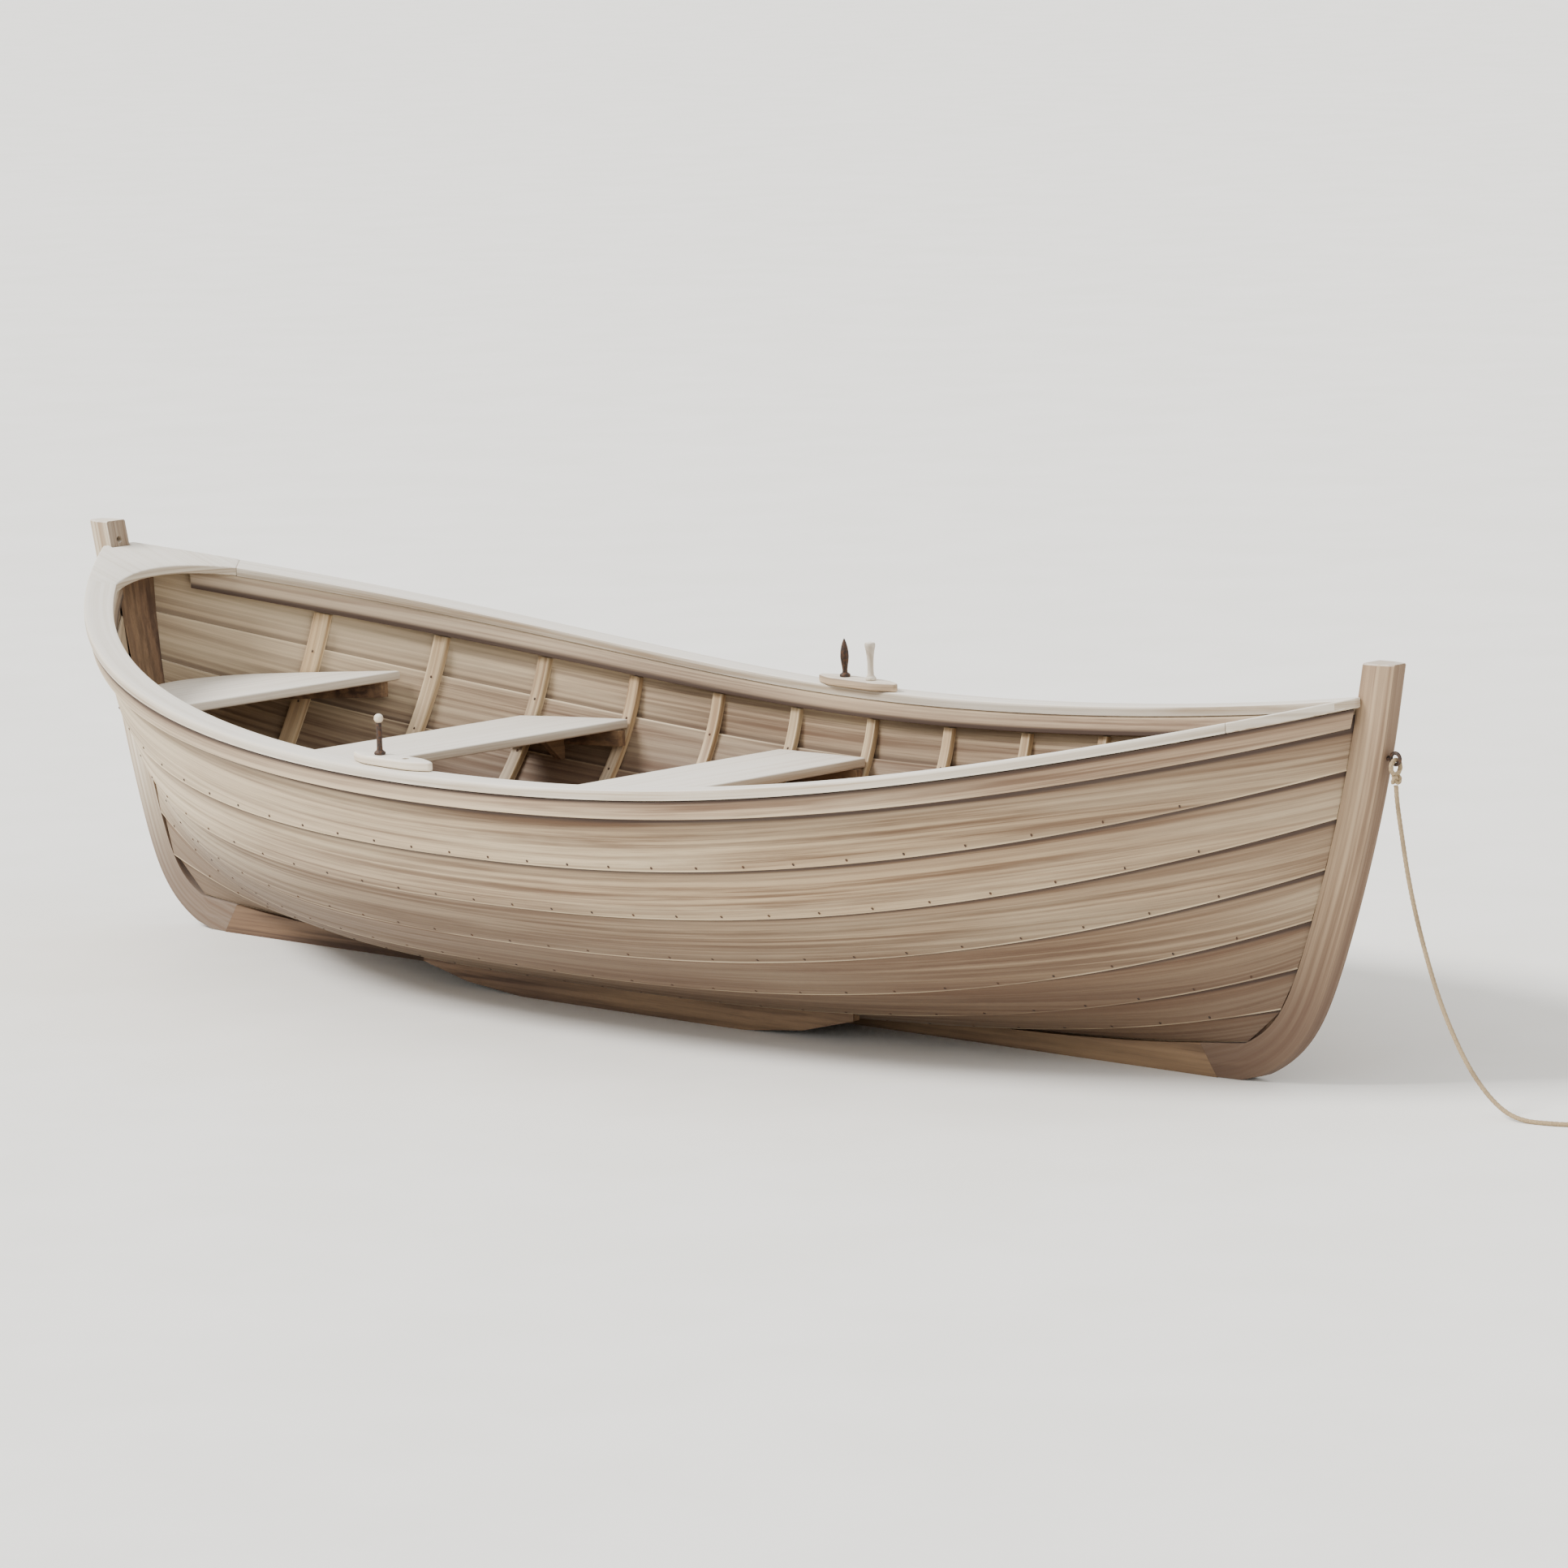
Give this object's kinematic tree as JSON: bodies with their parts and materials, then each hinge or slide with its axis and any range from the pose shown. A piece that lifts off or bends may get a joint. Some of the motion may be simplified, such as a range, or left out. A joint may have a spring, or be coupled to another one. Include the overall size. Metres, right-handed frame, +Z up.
{
  "type": "clinker rowing boat",
  "caption": "Double-ended clinker-built wooden rowing boat with thwarts, lift-out tholes and a rope painter.",
  "frame": {"origin": "on the ground under the keel, midway between the stem's and the stern post's fronts", "axes": "+X forward to the bow, +Y to port, +Z up"},
  "size_m": [4.737, 1.616, 0.997],
  "materials": {
    "planking": "weathered, oiled planking with dark laps",
    "warm_wood": "weathered, oiled timber",
    "dark_wood": "weathered, damp-stained timber",
    "pale_wood": "sun-bleached bare timber",
    "ribs": "weathered bent timber",
    "iron": "dark forged iron",
    "rope": "laid natural-fibre rope"
  },
  "bodies": {
    "hull": {"keel": "dark_wood", "hog": "dark_wood", "stem": "warm_wood", "stern_post": "pale_wood", "bow_apron": "dark_wood", "stern_apron": "dark_wood", "port_strake_1": "planking", "port_strake_2": "planking", "port_strake_3": "planking", "port_strake_4": "planking", "port_strake_5": "planking", "port_strake_6": "planking", "port_strake_7": "planking", "starboard_strake_1": "planking", "starboard_strake_2": "planking", "starboard_strake_3": "planking", "starboard_strake_4": "planking", "starboard_strake_5": "planking", "starboard_strake_6": "planking", "starboard_strake_7": "planking", "port_rubbing_strake": "warm_wood", "starboard_rubbing_strake": "warm_wood", "port_inwale": "warm_wood", "starboard_inwale": "warm_wood", "port_cap": "pale_wood", "starboard_cap": "pale_wood", "bow_breasthook": "pale_wood", "stern_breasthook": "pale_wood", "rib_1": "ribs", "rib_2": "ribs", "rib_3": "ribs", "rib_4": "ribs", "rib_5": "ribs", "rib_6": "ribs", "rib_7": "ribs", "rib_8": "ribs", "rib_9": "ribs", "rib_10": "ribs", "rib_11": "ribs", "rib_12": "ribs", "rib_13": "ribs", "seat_bearers": "dark_wood", "stern_sheets": "pale_wood", "after_thwart": "pale_wood", "rowing_thwart": "pale_wood", "thwart_knees": "dark_wood", "floor_boards": "dark_wood", "bilge_keels": "dark_wood", "port_thole_pad": "pale_wood", "starboard_thole_pad": "pale_wood", "eye_bolt": "iron", "painter": "rope", "painter_coil": "rope", "painter_bend": "rope"},
    "port_after_thole": {"port_after_thole": "iron"},
    "port_forward_thole": {"port_forward_thole": "pale_wood"},
    "starboard_after_thole": {"starboard_after_thole": "iron"}
  },
  "joints": [
    {"name": "port_after_thole_lift", "type": "slide", "parent": "hull", "child": "port_after_thole", "axis": [0, 0, 1], "range_m": [0, 0.09]},
    {"name": "port_forward_thole_lift", "type": "slide", "parent": "hull", "child": "port_forward_thole", "axis": [0, 0, 1], "range_m": [0, 0.09]},
    {"name": "starboard_after_thole_lift", "type": "slide", "parent": "hull", "child": "starboard_after_thole", "axis": [0, 0, 1], "range_m": [0, 0.09]}
  ]
}
